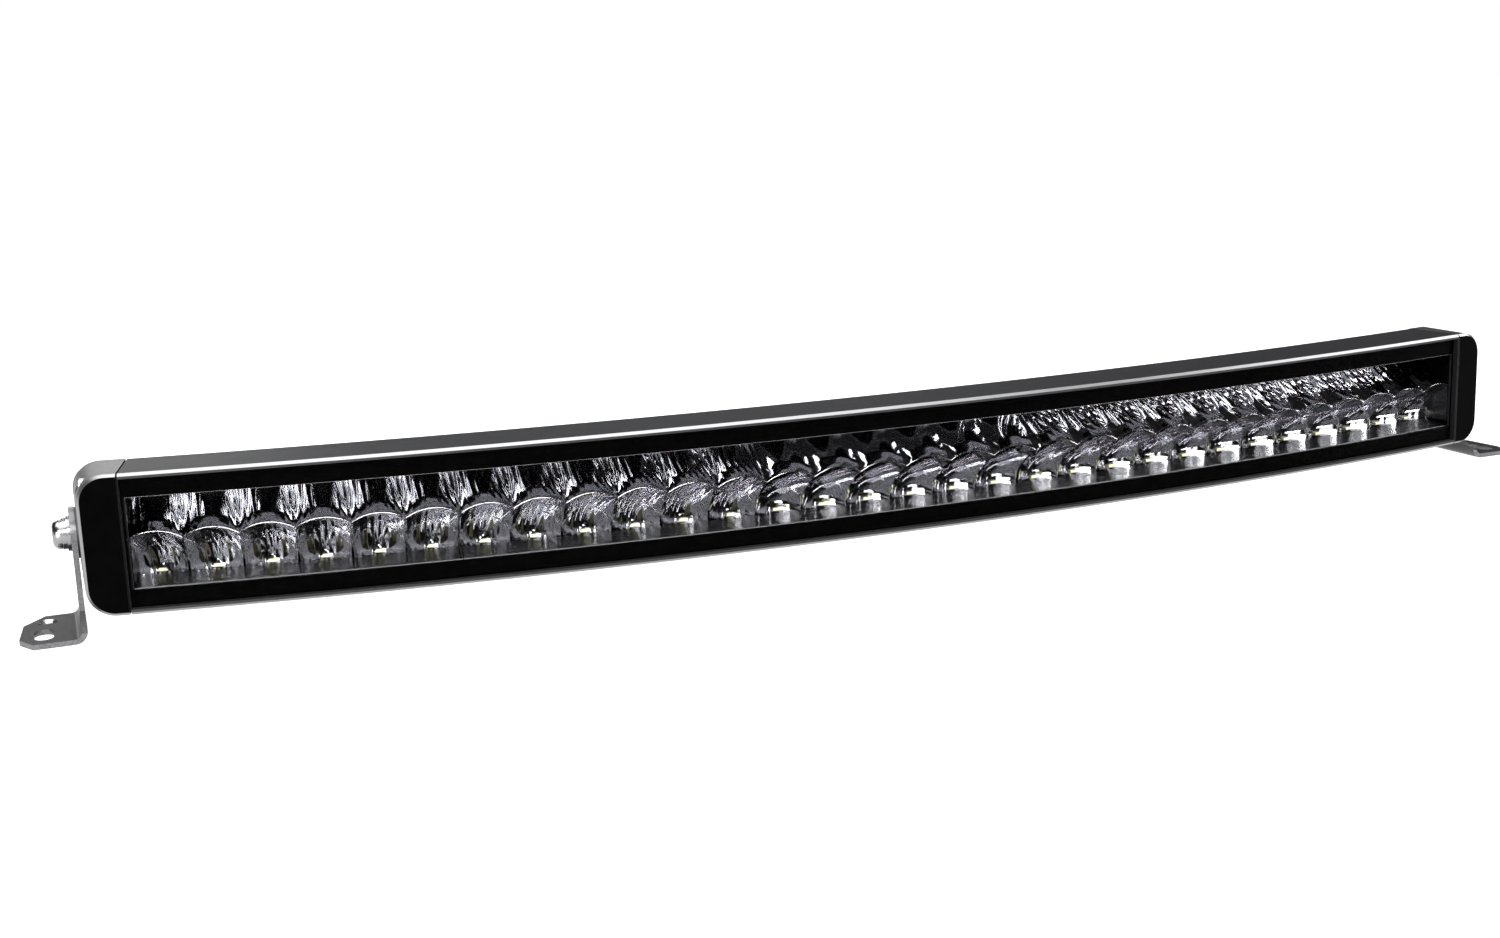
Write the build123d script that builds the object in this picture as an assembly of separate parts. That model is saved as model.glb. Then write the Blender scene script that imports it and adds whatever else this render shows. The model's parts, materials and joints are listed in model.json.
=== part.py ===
"""Curved single-row LED light bar with two end-mounted tilting brackets.

Frame: origin under the middle of the bar at the height of the feet, +X along the bar,
-Y the way the light shines, +Z up. Millimetres.
The bar is an arc in plan, bowed towards its front. Its sections are drawn as
(depth, height) pairs: depth runs inwards from the front face, height from mid-height.
"""

import os
from math import cos, degrees, sin, sqrt

from build123d import *

# ---------------------------------------------------------------- driving dimensions
ARC_RADIUS = 2090.0      # front face, in plan
FACE_Y = -48.0           # front of the face at mid-length
MID_Z = 45.0             # mid-height of the bar above the feet
BAR_HALF_HEIGHT = 33.0
SIDE_X = 397.0           # flat outer side of each end cap
PITCH = 25.4             # one light cell
CELLS = 30
MODULE_CELLS = 6         # cells on one circuit board and one reflector
HALF_RUN = PITCH * CELLS / 2

# housing section
HOUSING_HALF_RUN = HALF_RUN - 0.5
EDGE_CHAMFER = 1.3
WALL = 2.5
BODY_DEPTH = 37.0        # depth of the full-height part
BACK_WALL_DEPTH = 33.5   # inner face of the back wall
TOTAL_DEPTH = 60.0       # tips of the cooling fins
FIN_PITCH = 8.0
FIN_COUNT = 7
FIN_THICK = 2.4
REAR_HALF_HEIGHT = 27.0
LEDGE_DEPTH = 4.8        # shoulder that carries the lens seal
PORTS = ((10.2, 26.6), (10.2, -26.6), (40.0, 20.0), (40.0, -20.0))
PORT_R = 3.4

# end caps
CAP_START = HALF_RUN + 0.3
CAP_CORNER_R = 13.0
CAP_REAR_R = 9.0
PIVOT_Y = 20.0
PIVOT_Z = 46.0
INSERT_R = 5.5
INSERT_LENGTH = 14.0
SCREW_R = 2.0
SCREW_HEAD_R = 3.5
SCREW_HEAD_HEIGHT = 4.0
SCREW_HEAD_AT = {10.2: 14.0, 40.0: 19.0}
SCREW_GRIP = 11.0

# lens group
LENS_FRONT = 0.6
LENS_THICK = 3.0
MASK_THICK = 0.4
WINDOW_TOP = 21.2
WINDOW_BOTTOM = -22.2
WINDOW_HALF_RUN = HALF_RUN - 1.5
LENS_HALF_HEIGHT = BAR_HALF_HEIGHT - WALL

# light engine
LED_DEPTH = 27.9
LED_TOP = -18.9
DOME_AXIS = -18.8
DOME_FOCUS = 4.67        # focal length of each half-paraboloid
RIM_DEPTH = 4.4
SHELF_TOP = -19.4
SHELF_FRONT_TOP = -21.8
SHELF_THICK = 0.8
BOARD_TOP = -20.4
BOARD_THICK = 1.6
PAD_THICK = 0.5
RAIL_THICK = 2.5
REFLECTOR_GAP = 0.3      # gap between two reflector modules
MODULE_SCREW_DEPTH = 28.0
RAIL_SCREW_HEIGHT = -27.7
FEED_MODULE = 1
FEED_RUN = -PITCH * MODULE_CELLS

# driver, on the back wall behind the reflectors
DRIVER_START = -300.0
DRIVER_END = -120.0
DRIVER_SCREW_RUNS = (-284.0, -136.0)
DRIVER_SCREW_HEIGHT = 15.0

# fittings through the back wall
GLAND_RUN = -330.0
VENT_RUN = 300.0
FITTING_HEIGHT = 8.0
FITTING_R = 6.0
FITTING_PAD = 22.0
CABLE_R = 3.0

# brackets
SHEET = 2.5
PAD_GAP = 0.8            # friction pad between end cap and arm
RUNNING_GAP = 0.05
ARM_WIDTH = 25.0
BEND_R = 6.0
FOOT_REACH = 427.6
FOOT_FRONT_Y = -8.0
FOOT_BACK_Y = 41.0
SLOT_Y = 7.5
SLOT_X = 416.8
SLOT_WIDTH = 8.5
SLOT_LENGTH = 18.0
SCREW_HOLE_X = 415.0
SCREW_HOLE_Y = 29.5
SCREW_HOLE_R = 3.25
SINK_R = 4.75

BOLT_R = 4.0
BOLT_LENGTH = 24.0
BRACKET_HOLE_R = 4.1
PLAIN_WASHER = 1.6
SPRING_WASHER = 2.0
HEAD_HEIGHT = 4.4
HEAD_R = 7.0
STACK_WASHER = PAD_GAP + 2 * RUNNING_GAP + SHEET
STACK_SPRING = STACK_WASHER + PLAIN_WASHER + 0.02
STACK_HEAD = STACK_SPRING + SPRING_WASHER + 0.02

ARC_AXIS = Axis((0, FACE_Y + ARC_RADIUS, 0), (0, 0, 1))
MODULES = CELLS // MODULE_CELLS
ARM_INNER_X = SIDE_X + PAD_GAP + RUNNING_GAP
ARM_OUTER_X = ARM_INNER_X + SHEET
SIDES = {"left": -1, "right": 1}


# ---------------------------------------------------------------- helpers
def place(run, depth=0.0, height=0.0):
    """Frame on the arc: local X along the bar, local Y inwards, local Z up."""
    angle = run / ARC_RADIUS
    reach = ARC_RADIUS - depth
    spot = (reach * sin(angle), FACE_Y + ARC_RADIUS - reach * cos(angle), MID_Z + height)
    return Location(spot, (0, 0, degrees(angle)))


def section(points):
    """Closed section from (depth, height) pairs, drawn at mid-length."""
    return make_face(Polyline(*[(0, FACE_Y + d, MID_Z + h) for d, h in points], close=True))


def slab(depth0, depth1, low, high):
    return section([(depth0, low), (depth1, low), (depth1, high), (depth0, high)])


def both_halves(points):
    """The section points, then the same points mirrored below mid-height."""
    return points + [(d, -h) for d, h in reversed(points)]


def along_arc(face, run0, run1):
    """Sweep a section along the bar's arc, from one run length to the other."""
    start = face.rotate(ARC_AXIS, degrees(run0 / ARC_RADIUS))
    return revolve(start, axis=ARC_AXIS, revolution_arc=degrees((run1 - run0) / ARC_RADIUS))


def block(width, deep, tall):
    return Box(width, deep, tall)


def rod_x(radius, length):
    """Cylinder along X that starts at the origin and runs to +X."""
    return Pos(length / 2, 0, 0) * Rot(0, 90, 0) * Cylinder(radius, length)


def rod_y(radius, length):
    """Cylinder along Y that starts at the origin and runs to +Y."""
    return Pos(0, length / 2, 0) * Rot(90, 0, 0) * Cylinder(radius, length)


def ring_x(outer, inner, length):
    return rod_x(outer, length) - Pos(-1, 0, 0) * rod_x(inner, length + 2)


def mirror_for(side, shape):
    """Right-hand shapes are drawn first; the left one is its mirror image."""
    return shape if side > 0 else shape.mirror(Plane.YZ)


def save(name, *solids):
    shape = solids[0] if len(solids) == 1 else Compound(children=list(solids))
    shape.label = name
    export_step(shape, f"parts/{name}.step")


def cell_run(index):
    return (index - (CELLS - 1) / 2) * PITCH


def module_run(index):
    return (index - (MODULES - 1) / 2) * MODULE_CELLS * PITCH


def module_span(index, gap):
    """Start and end of a module's run, kept inside the housing."""
    half = MODULE_CELLS * PITCH / 2
    limit = HALF_RUN - 2.4
    start = max(module_run(index) - half + gap / 2, -limit)
    end = min(module_run(index) + half - gap / 2, limit)
    return start, end


# ---------------------------------------------------------------- housing and ends
def screw_axis(side, depth, height):
    """Frame of an end cap screw at the housing's end, local X pointing outwards."""
    spot = place(side * HOUSING_HALF_RUN, depth, height)
    return spot if side > 0 else spot * Rot(0, 0, 180)


def housing():
    outer = section(both_halves([
        (0, BAR_HALF_HEIGHT - EDGE_CHAMFER),
        (EDGE_CHAMFER, BAR_HALF_HEIGHT),
        (BODY_DEPTH - 1.0, BAR_HALF_HEIGHT),
        (BODY_DEPTH, BAR_HALF_HEIGHT - 1.0),
    ]))
    inner_top = BAR_HALF_HEIGHT - WALL
    ledge = inner_top - 3.0
    cavity = section(both_halves([
        (-1.0, inner_top),
        (LEDGE_DEPTH, inner_top),
        (LEDGE_DEPTH, ledge),
        (LEDGE_DEPTH + 2.7, ledge),
        (LEDGE_DEPTH + 2.7, inner_top),
        (BACK_WALL_DEPTH, inner_top),
    ]))
    profile = outer - cavity
    for depth, height in PORTS:
        disc = Plane.YZ * Pos(FACE_Y + depth, MID_Z + height) * Circle(PORT_R)
        profile += disc
    body = along_arc(profile, -HOUSING_HALF_RUN, HOUSING_HALF_RUN)
    for number in range(FIN_COUNT):
        height = (number - (FIN_COUNT - 1) / 2) * FIN_PITCH
        fin = section([
            (BODY_DEPTH - 1, height - FIN_THICK / 2),
            (TOTAL_DEPTH - 1.5, height - FIN_THICK / 3),
            (TOTAL_DEPTH - 1.5, height + FIN_THICK / 3),
            (BODY_DEPTH - 1, height + FIN_THICK / 2),
        ])
        body += along_arc(fin, -HOUSING_HALF_RUN, HOUSING_HALF_RUN)
    for side in SIDES.values():
        for depth, height in PORTS:
            hole = Pos(-SCREW_GRIP - 3, 0, 0) * rod_x(SCREW_R + 0.05, 20)
            body -= screw_axis(side, depth, height) * hole
    for run in (GLAND_RUN, VENT_RUN):
        body -= place(run, BODY_DEPTH + 15) * block(FITTING_PAD, 30, 2 * REAR_HALF_HEIGHT + 6)
        body -= place(run, BACK_WALL_DEPTH - 1, FITTING_HEIGHT) * rod_y(FITTING_R + 0.05, 6)
    for index in range(MODULES):
        tapped = rod_y(1.55, 4)
        body -= place(module_run(index), BACK_WALL_DEPTH - 1, RAIL_SCREW_HEIGHT) * tapped
    for run in DRIVER_SCREW_RUNS:
        body -= place(run, BACK_WALL_DEPTH - 1, DRIVER_SCREW_HEIGHT) * rod_y(1.55, 4)
    return body


def end_cap_right():
    """Cast cap: full-height block to the body's depth, lower block over the fins."""
    front = along_arc(slab(0, BODY_DEPTH, -60, 60), CAP_START, CAP_START + 40)
    rear = along_arc(slab(BODY_DEPTH - 1, TOTAL_DEPTH, -60, 60), CAP_START, CAP_START + 40)
    rounded = RectangleRounded(120, 2 * BAR_HALF_HEIGHT, CAP_CORNER_R)
    tube = Pos(SIDE_X - 60, 100, MID_Z) * Rot(90, 0, 0) * extrude(rounded, 200)
    rounded_rear = RectangleRounded(120, 2 * REAR_HALF_HEIGHT, CAP_REAR_R)
    rear_tube = Pos(SIDE_X - 60, 100, MID_Z) * Rot(90, 0, 0) * extrude(rounded_rear, 200)
    plan = Pos(SIDE_X - 100, -28, 0) * RectangleRounded(200, 2 * (48 + 28), CAP_REAR_R)
    front_plan = Pos(SIDE_X - 100, -43.5, 0) * RectangleRounded(200, 2 * 70.5, CAP_REAR_R)
    front = front & tube & extrude(front_plan, 120)
    rear = rear & rear_tube & extrude(plan, 120)
    face = front.faces().sort_by(Axis.Y)[0]
    seam = face.edges().sort_by(Axis.X)[0]
    rim = [edge for edge in face.edges() if edge.center().X > seam.center().X + 1]
    front = chamfer(rim, EDGE_CHAMFER)
    cap = front + rear
    recess = along_arc(slab(15, 23, -20, 20), CAP_START - 5, CAP_START + 8)
    cap -= recess
    cap -= Pos(SIDE_X + 1, PIVOT_Y, PIVOT_Z) * Rot(0, 180, 0) * rod_x(INSERT_R, INSERT_LENGTH + 1)
    cap -= Pos(SIDE_X + 1, PIVOT_Y, PIVOT_Z) * Rot(0, 180, 0) * rod_x(BOLT_R + 0.3, 20)
    for depth, height in PORTS:
        frame = screw_axis(1, depth, height)
        head_at = SCREW_HEAD_AT[depth]
        cap -= frame * Pos(-2, 0, 0) * rod_x(SCREW_R + 0.25, 40)
        cap -= frame * Pos(head_at, 0, 0) * rod_x(SCREW_HEAD_R + 0.3, 30)
    return cap


def end_cap_gasket(side):
    """Flat silicone frame between the housing's end and the cap."""
    outer = slab(1.5, BODY_DEPTH - 0.5, -BAR_HALF_HEIGHT + 1, BAR_HALF_HEIGHT - 1)
    opening = slab(14.5, BACK_WALL_DEPTH - 1.5, -21.5, 21.5)
    rear = slab(BODY_DEPTH - 0.6, 46, -24, 24)
    profile = outer - opening + rear
    run0 = side * (HOUSING_HALF_RUN + 0.02)
    run1 = side * (CAP_START - 0.02)
    gasket = along_arc(profile, min(run0, run1), max(run0, run1))
    for depth, height in PORTS:
        gasket -= screw_axis(side, depth, height) * Pos(-3, 0, 0) * rod_x(SCREW_R + 0.3, 8)
    return gasket


def cap_screw(side, depth, height):
    """Socket head cap screw along the bar's tangent at its end."""
    head_at = SCREW_HEAD_AT[depth]
    shank = Pos(-SCREW_GRIP, 0, 0) * rod_x(SCREW_R, SCREW_GRIP + head_at + 0.5)
    head = Pos(head_at + 0.02, 0, 0) * rod_x(SCREW_HEAD_R, SCREW_HEAD_HEIGHT)
    socket = Pos(head_at + 1.8, 0, 0) * Rot(0, 90, 0) * extrude(RegularPolygon(1.73, 6), 4)
    return screw_axis(side, depth, height) * (shank + head - socket)


# ---------------------------------------------------------------- lens group
def front_lens():
    return along_arc(
        slab(LENS_FRONT, LENS_FRONT + LENS_THICK, -LENS_HALF_HEIGHT + 0.1, LENS_HALF_HEIGHT - 0.1),
        -HALF_RUN + 0.6, HALF_RUN - 0.6)


def framed(depth0, depth1, top, bottom, half_run, edge):
    """Flat frame on the arc: full height outside, a long window inside."""
    plate = along_arc(slab(depth0, depth1, -LENS_HALF_HEIGHT + 0.1, LENS_HALF_HEIGHT - 0.1),
                      -HALF_RUN + edge, HALF_RUN - edge)
    window = along_arc(slab(depth0 - 1, depth1 + 1, bottom, top), -half_run, half_run)
    return plate - window


def lens_mask():
    depth = LENS_FRONT + LENS_THICK + 0.02
    return framed(depth, depth + MASK_THICK, WINDOW_TOP, WINDOW_BOTTOM, WINDOW_HALF_RUN, 0.6)


def lens_seal():
    """Silicone bead between the border and the housing's shoulder."""
    depth = LENS_FRONT + LENS_THICK + MASK_THICK + 0.04
    return framed(depth, LEDGE_DEPTH - 0.02, LENS_HALF_HEIGHT - 3, -LENS_HALF_HEIGHT + 3,
                  HALF_RUN - 2.2, 0.6)


def end_plate(side):
    """Black plate that closes each end of the row of reflectors."""
    run0 = side * (HALF_RUN - 2.2)
    run1 = side * (HALF_RUN - 1.2)
    return along_arc(slab(4.9, 33.2, -22.9, 22.9), min(run0, run1), max(run0, run1))


# ---------------------------------------------------------------- light engine
def dome_cut():
    """Half-paraboloid with its focus at the light source, opening to the front."""
    vertex = LED_DEPTH + DOME_FOCUS
    points = []
    for step in range(7):
        back = vertex * (step / 6) ** 2
        points.append((0, -back, sqrt(4 * DOME_FOCUS * back)))
    curve = Spline(*points)
    rim = Line(points[-1], (0, -vertex, 0))
    axis = Line((0, -vertex, 0), points[0])
    bowl = revolve(make_face([curve, rim, axis]), axis=Axis((0, 0, 0), (0, 1, 0)))
    keep = Pos(0, -vertex / 2, 23) * block(PITCH + 0.2, vertex + 2, 50)
    return Pos(0, vertex, 0) * (bowl & keep)


def reflector(index, dome):
    """Metallised moulding: a leaning upper wall over one row of domes."""
    slope = 22.0 / (27.5 - RIM_DEPTH)
    shape = section([
        (RIM_DEPTH, SHELF_TOP + 0.05),
        (RIM_DEPTH, 1.0),
        (27.5, 23.0),
        (32.9, 23.0),
        (32.9, SHELF_TOP + 0.05),
    ])
    hollow = section([
        (15.0, 2.0),
        (15.0, 1.0 + slope * (15.0 - RIM_DEPTH) - 2.8),
        (27.5, 23.0 - 2.8),
        (34.0, 23.0 - 2.8),
        (34.0, -9.0),
        (30.0, -9.0),
        (24.0, -3.5),
    ])
    start, end = module_span(index, REFLECTOR_GAP)
    body = along_arc(shape - hollow, start, end)
    for number in range(MODULE_CELLS):
        body -= place(cell_run(index * MODULE_CELLS + number), 0, DOME_AXIS) * dome
    for run in module_screw_runs(index):
        body -= place(run, MODULE_SCREW_DEPTH, SHELF_TOP - 1) * Pos(0, 0, 3.5) * Cylinder(1.35, 7)
    for run in channel_runs(index):
        body -= place(run, 31.5, -14) * block(8.4, 3.4, 14)
    return body


def module_screw_runs(index):
    centre = module_run(index)
    return (centre - 2 * PITCH, centre + 2 * PITCH)


def channel_runs(index):
    """Notches behind the domes: board links at the ends, the feed over the driver."""
    half = MODULE_CELLS * PITCH / 2
    runs = [module_run(index) - half, module_run(index) + half]
    if index == FEED_MODULE:
        runs.append(FEED_RUN)
    return runs


def drilled(shape, index, radius):
    for run in module_screw_runs(index):
        shape -= place(run, MODULE_SCREW_DEPTH, SHELF_TOP) * Cylinder(radius, 20)
    return shape


def led_board(index):
    start, end = module_span(index, 0.4)
    board = along_arc(slab(21.0, 33.0, BOARD_TOP - BOARD_THICK, BOARD_TOP), start, end)
    return drilled(board, index, 1.6)


def thermal_pad(index):
    start, end = module_span(index, 0.4)
    top = BOARD_TOP - BOARD_THICK
    pad = along_arc(slab(21.5, 32.5, top - PAD_THICK, top), start + 1, end - 1)
    return drilled(pad, index, 2.0)


def shelf(index):
    """Polished sheet over one module's board, with an aperture round each light source."""
    start, end = module_span(index, REFLECTOR_GAP)
    sheet = along_arc(section([
        (RIM_DEPTH + 0.6, SHELF_FRONT_TOP - SHELF_THICK),
        (RIM_DEPTH + 0.6, SHELF_FRONT_TOP),
        (19.5, SHELF_TOP),
        (32.6, SHELF_TOP),
        (32.6, SHELF_TOP - SHELF_THICK),
        (19.5, SHELF_TOP - SHELF_THICK),
    ]), start, end)
    for cell in range(MODULE_CELLS):
        run = cell_run(index * MODULE_CELLS + cell)
        sheet -= place(run, LED_DEPTH, SHELF_TOP) * block(5.6, 5.6, 3)
    for run in channel_runs(index):
        sheet -= place(run, 31.5, SHELF_TOP) * block(8.4, 4.0, 3)
    return drilled(sheet, index, 1.6)


def board_rail():
    """Curved angle: boards lie on the upper leg, the lower leg is screwed to the back wall."""
    top = BOARD_TOP - BOARD_THICK - PAD_THICK
    rail = along_arc(section([
        (16.0, top - RAIL_THICK),
        (16.0, top),
        (33.3, top),
        (33.3, -30.2),
        (30.6, -30.2),
        (30.6, top - RAIL_THICK),
    ]), -HALF_RUN + 2.6, HALF_RUN - 2.6)
    for index in range(MODULES):
        rail = drilled(rail, index, 1.6)
        rail -= place(module_run(index), 29, RAIL_SCREW_HEIGHT) * rod_y(1.7, 6)
    return rail


def module_screw(run):
    """Pan head screw up through rail, pad and board into the reflector."""
    under = BOARD_TOP - BOARD_THICK - PAD_THICK - RAIL_THICK
    shank = Pos(0, 0, 5.7) * Cylinder(1.3, 11.5)
    head = Pos(0, 0, -0.82) * Cylinder(2.3, 1.6)
    return place(run, MODULE_SCREW_DEPTH, under) * (shank + head)


def wall_screw(run, depth, height):
    """Pan head screw into the back wall, its head seated at the given depth."""
    shank = Pos(0, -0.5, 0) * rod_y(1.5, 35.9 - depth + 0.5)
    head = Pos(0, -1.82, 0) * rod_y(2.3, 1.8)
    return place(run, depth, height) * (shank + head)


def led_body(run):
    return place(run, LED_DEPTH, (BOARD_TOP + LED_TOP - 0.6) / 2) * block(5.0, 5.0, 0.86)


def led_phosphor(run):
    chip = fillet(block(3.4, 3.4, 0.58).edges().filter_by(Axis.Z), 0.5)
    return place(run, LED_DEPTH, LED_TOP - 0.29) * chip


def board_link(index):
    """Two-way bridge between neighbouring boards."""
    run = module_run(index) + MODULE_CELLS * PITCH / 2
    return place(run, 31.5, BOARD_TOP + 1.25) * block(7.0, 2.4, 2.4)


# ---------------------------------------------------------------- driver
def driver_board():
    board = along_arc(slab(31.0, 32.5, -6.5, 18.5), DRIVER_START, DRIVER_END)
    for run in DRIVER_SCREW_RUNS:
        board -= place(run, 29, DRIVER_SCREW_HEIGHT) * rod_y(1.7, 6)
    return board


def driver_pad():
    return along_arc(slab(32.52, BACK_WALL_DEPTH - 0.02, -5, 12), DRIVER_START + 2, DRIVER_END - 2)


def on_driver(run, height, size_run, size_depth, size_height):
    """Block whose back lies on the front of the driver board."""
    return place(run, 30.98 - size_depth / 2, height) * block(size_run, size_depth, size_height)


def choke(run):
    coil = Rot(90, 0, 0) * Cylinder(4.6, 5.5)
    core = Rot(90, 0, 0) * Cylinder(2.2, 8)
    return place(run, 30.98 - 2.75, 5.0) * (coil - core)


def capacitor(run):
    can = fillet((Rot(90, 0, 0) * Cylinder(3.1, 5.4)).edges(), 0.4)
    return place(run, 30.98 - 2.7, 5.0) * can


def feed_lead(offset):
    """Lead from the driver board's lower edge straight down to the LED board."""
    low = BOARD_TOP + 0.05
    tube = Cylinder(0.7, -6.6 - low)
    return place(FEED_RUN + offset, 31.7, (low - 6.6) / 2) * tube


def power_lead(offset):
    """Lead from the gland's inner end, along the back wall, to the terminal block."""
    start_run = GLAND_RUN + offset
    end_run = DRIVER_START + 0.8
    depth0 = 25.2 + offset * 0.3
    route = FilletPolyline(
        (0, 6.5, 0),
        (0, 0, 0),
        (end_run - start_run, 0, 0),
        radius=3.0)
    start = Plane(origin=(0, 6.5, 0), z_dir=(0, -1, 0))
    tube = sweep(start * Circle(0.9), path=route)
    return place(start_run, depth0, FITTING_HEIGHT + offset) * tube


# ---------------------------------------------------------------- fittings on the back
def gland_body():
    """Threaded body with a hexagon flange outside the back wall."""
    thread = rod_y(FITTING_R, BODY_DEPTH - BACK_WALL_DEPTH + 6.0)
    thread = Pos(0, -5.0 - (BODY_DEPTH - BACK_WALL_DEPTH), 0) * thread
    flange = Pos(0, 4.02, 0) * Rot(90, 0, 0) * extrude(RegularPolygon(8.66, 6), 4)
    neck = Pos(0, 4, 0) * rod_y(6.0, 6.0)
    bore = Pos(0, -20, 0) * rod_y(CABLE_R + 0.4, 40)
    return place(GLAND_RUN, BODY_DEPTH, FITTING_HEIGHT) * (thread + flange + neck - bore)


def gland_seal():
    sleeve = rod_y(CABLE_R + 1.9, 5.0) - Pos(0, -1, 0) * rod_y(CABLE_R, 8)
    return place(GLAND_RUN, BODY_DEPTH + 10.05, FITTING_HEIGHT) * sleeve


def gland_nut():
    hexagon = Rot(90, 0, 0) * extrude(RegularPolygon(8.66, 6), 12)
    shell = Pos(0, 16.6, 0) * hexagon & rod_y(8.3, 30)
    pocket = rod_y(6.05, 10.0)
    pocket += rod_y(CABLE_R + 1.95, 15.1)
    pocket += rod_y(CABLE_R + 0.4, 30)
    return place(GLAND_RUN, BODY_DEPTH, FITTING_HEIGHT) * (shell - pocket)


def gland_locknut():
    nut = Rot(90, 0, 0) * extrude(RegularPolygon(8.66, 6), 3)
    nut -= Pos(0, -10, 0) * rod_y(FITTING_R + 0.03, 20)
    return place(GLAND_RUN, BACK_WALL_DEPTH - 0.02, FITTING_HEIGHT) * nut


def breather_vent():
    stem = Pos(0, -4.5, 0) * rod_y(FITTING_R, 4.55)
    cap = rod_y(8.0, 4.0)
    cap = fillet(cap.edges().sort_by(Axis.Y)[-1:], 1.0)
    slots = [Rot(0, 45 * n, 0) * Pos(0, 2.2, 7.4) * block(2.0, 1.2, 3.0) for n in range(8)]
    return place(VENT_RUN, BODY_DEPTH + 0.02, FITTING_HEIGHT) * (stem + cap - slots)


# ---------------------------------------------------------------- brackets and pivots
def bracket_right():
    """Bent sheet: rounded arm on the pivot, flared bend, foot with cut corners."""
    top = PIVOT_Z + ARM_WIDTH
    angle = make_face(Polyline(
        (ARM_INNER_X, 0, 0),
        (FOOT_REACH, 0, 0),
        (FOOT_REACH, 0, SHEET),
        (ARM_OUTER_X, 0, SHEET),
        (ARM_OUTER_X, 0, top),
        (ARM_INNER_X, 0, top),
        close=True))
    sheet = extrude(angle, 60, both=True)
    along = sheet.edges().filter_by(Axis.Y)
    outer_bend = along.filter_by_position(Axis.X, ARM_INNER_X - 0.1, ARM_INNER_X + 0.1)
    sheet = fillet(outer_bend.sort_by(Axis.Z)[0], BEND_R)
    along = sheet.edges().filter_by(Axis.Y)
    inner_bend = along.filter_by_position(Axis.X, ARM_OUTER_X - 0.1, ARM_OUTER_X + 0.1)
    sheet = fillet(inner_bend.sort_by(Axis.Z)[0], BEND_R - SHEET)

    half = ARM_WIDTH / 2
    side_view = make_face(Polyline(
        (ARM_INNER_X - 5, FOOT_FRONT_Y, -1),
        (ARM_INNER_X - 5, FOOT_FRONT_Y, 5),
        (ARM_INNER_X - 5, PIVOT_Y - half, 11.5),
        (ARM_INNER_X - 5, PIVOT_Y - half, PIVOT_Z),
        (ARM_INNER_X - 5, PIVOT_Y + half, PIVOT_Z),
        (ARM_INNER_X - 5, PIVOT_Y + half, 11.5),
        (ARM_INNER_X - 5, FOOT_BACK_Y, 6),
        (ARM_INNER_X - 5, FOOT_BACK_Y, -1),
        close=True))
    silhouette = extrude(side_view, 45, dir=(1, 0, 0))
    silhouette += Pos(ARM_INNER_X - 5, PIVOT_Y, PIVOT_Z) * rod_x(half, 45)

    plan_view = make_face(Polyline(
        (ARM_INNER_X - 5, FOOT_FRONT_Y, -1),
        (FOOT_REACH - 5.8, FOOT_FRONT_Y, -1),
        (FOOT_REACH, 3, -1),
        (FOOT_REACH - 2.0, 27, -1),
        (FOOT_REACH - 12.0, FOOT_BACK_Y, -1),
        (ARM_INNER_X - 5, FOOT_BACK_Y, -1),
        close=True))
    bracket = sheet & silhouette & extrude(plan_view, 120, dir=(0, 0, 1))

    slot = extrude(SlotOverall(SLOT_LENGTH, SLOT_WIDTH, rotation=90), 10, both=True)
    bracket -= Pos(SLOT_X, SLOT_Y, 0) * slot
    bracket -= Pos(SCREW_HOLE_X, SCREW_HOLE_Y, 0) * Cylinder(SCREW_HOLE_R, 20)
    sink = Cone(SCREW_HOLE_R, SINK_R + 0.5, SINK_R + 0.5 - SCREW_HOLE_R)
    bracket -= Pos(SCREW_HOLE_X, SCREW_HOLE_Y, SHEET + 0.5 - (SINK_R + 0.5 - SCREW_HOLE_R) / 2) * sink
    bracket -= Pos(ARM_INNER_X - 5, PIVOT_Y, PIVOT_Z) * rod_x(BRACKET_HOLE_R, 20)
    return bracket


def at_pivot(offset, shape):
    """Places a shape drawn along +X at a distance from the cap's outer side."""
    return Pos(SIDE_X + offset, PIVOT_Y, PIVOT_Z) * shape


def pivot_pad():
    return at_pivot(0.02, ring_x(12.0, BRACKET_HOLE_R, PAD_GAP - 0.02))


def plain_washer():
    return at_pivot(STACK_WASHER, ring_x(8.4, BRACKET_HOLE_R, PLAIN_WASHER))


def spring_washer():
    split = Pos(0, 0, 5.8) * Rot(0, 0, 24) * block(12, 1.4, 6)
    return at_pivot(STACK_SPRING, ring_x(7.4, BRACKET_HOLE_R, SPRING_WASHER) - split)


def pivot_bolt():
    """Button head socket screw, domed head outwards."""
    shank = Pos(-BOLT_LENGTH, 0, 0) * chamfer(rod_x(BOLT_R, BOLT_LENGTH + 1).edges().sort_by(Axis.X)[0], 0.8)
    head = rod_x(HEAD_R, HEAD_HEIGHT)
    head = fillet(head.edges().sort_by(Axis.X)[-1], HEAD_HEIGHT - 0.9)
    socket = Pos(HEAD_HEIGHT - 2.6, 0, 0) * Rot(0, 90, 0) * extrude(RegularPolygon(2.89, 6), 4)
    return at_pivot(STACK_HEAD, shank + head - socket)


def thread_insert():
    sleeve = ring_x(INSERT_R - 0.02, BOLT_R + 0.02, INSERT_LENGTH - 0.1)
    return at_pivot(0.05 - INSERT_LENGTH, sleeve)


def turned(shape):
    """Half a turn about the upright line through the middle of the pivot axis."""
    return shape.rotate(Axis((0, PIVOT_Y, 0), (0, 0, 1)), 180)


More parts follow.
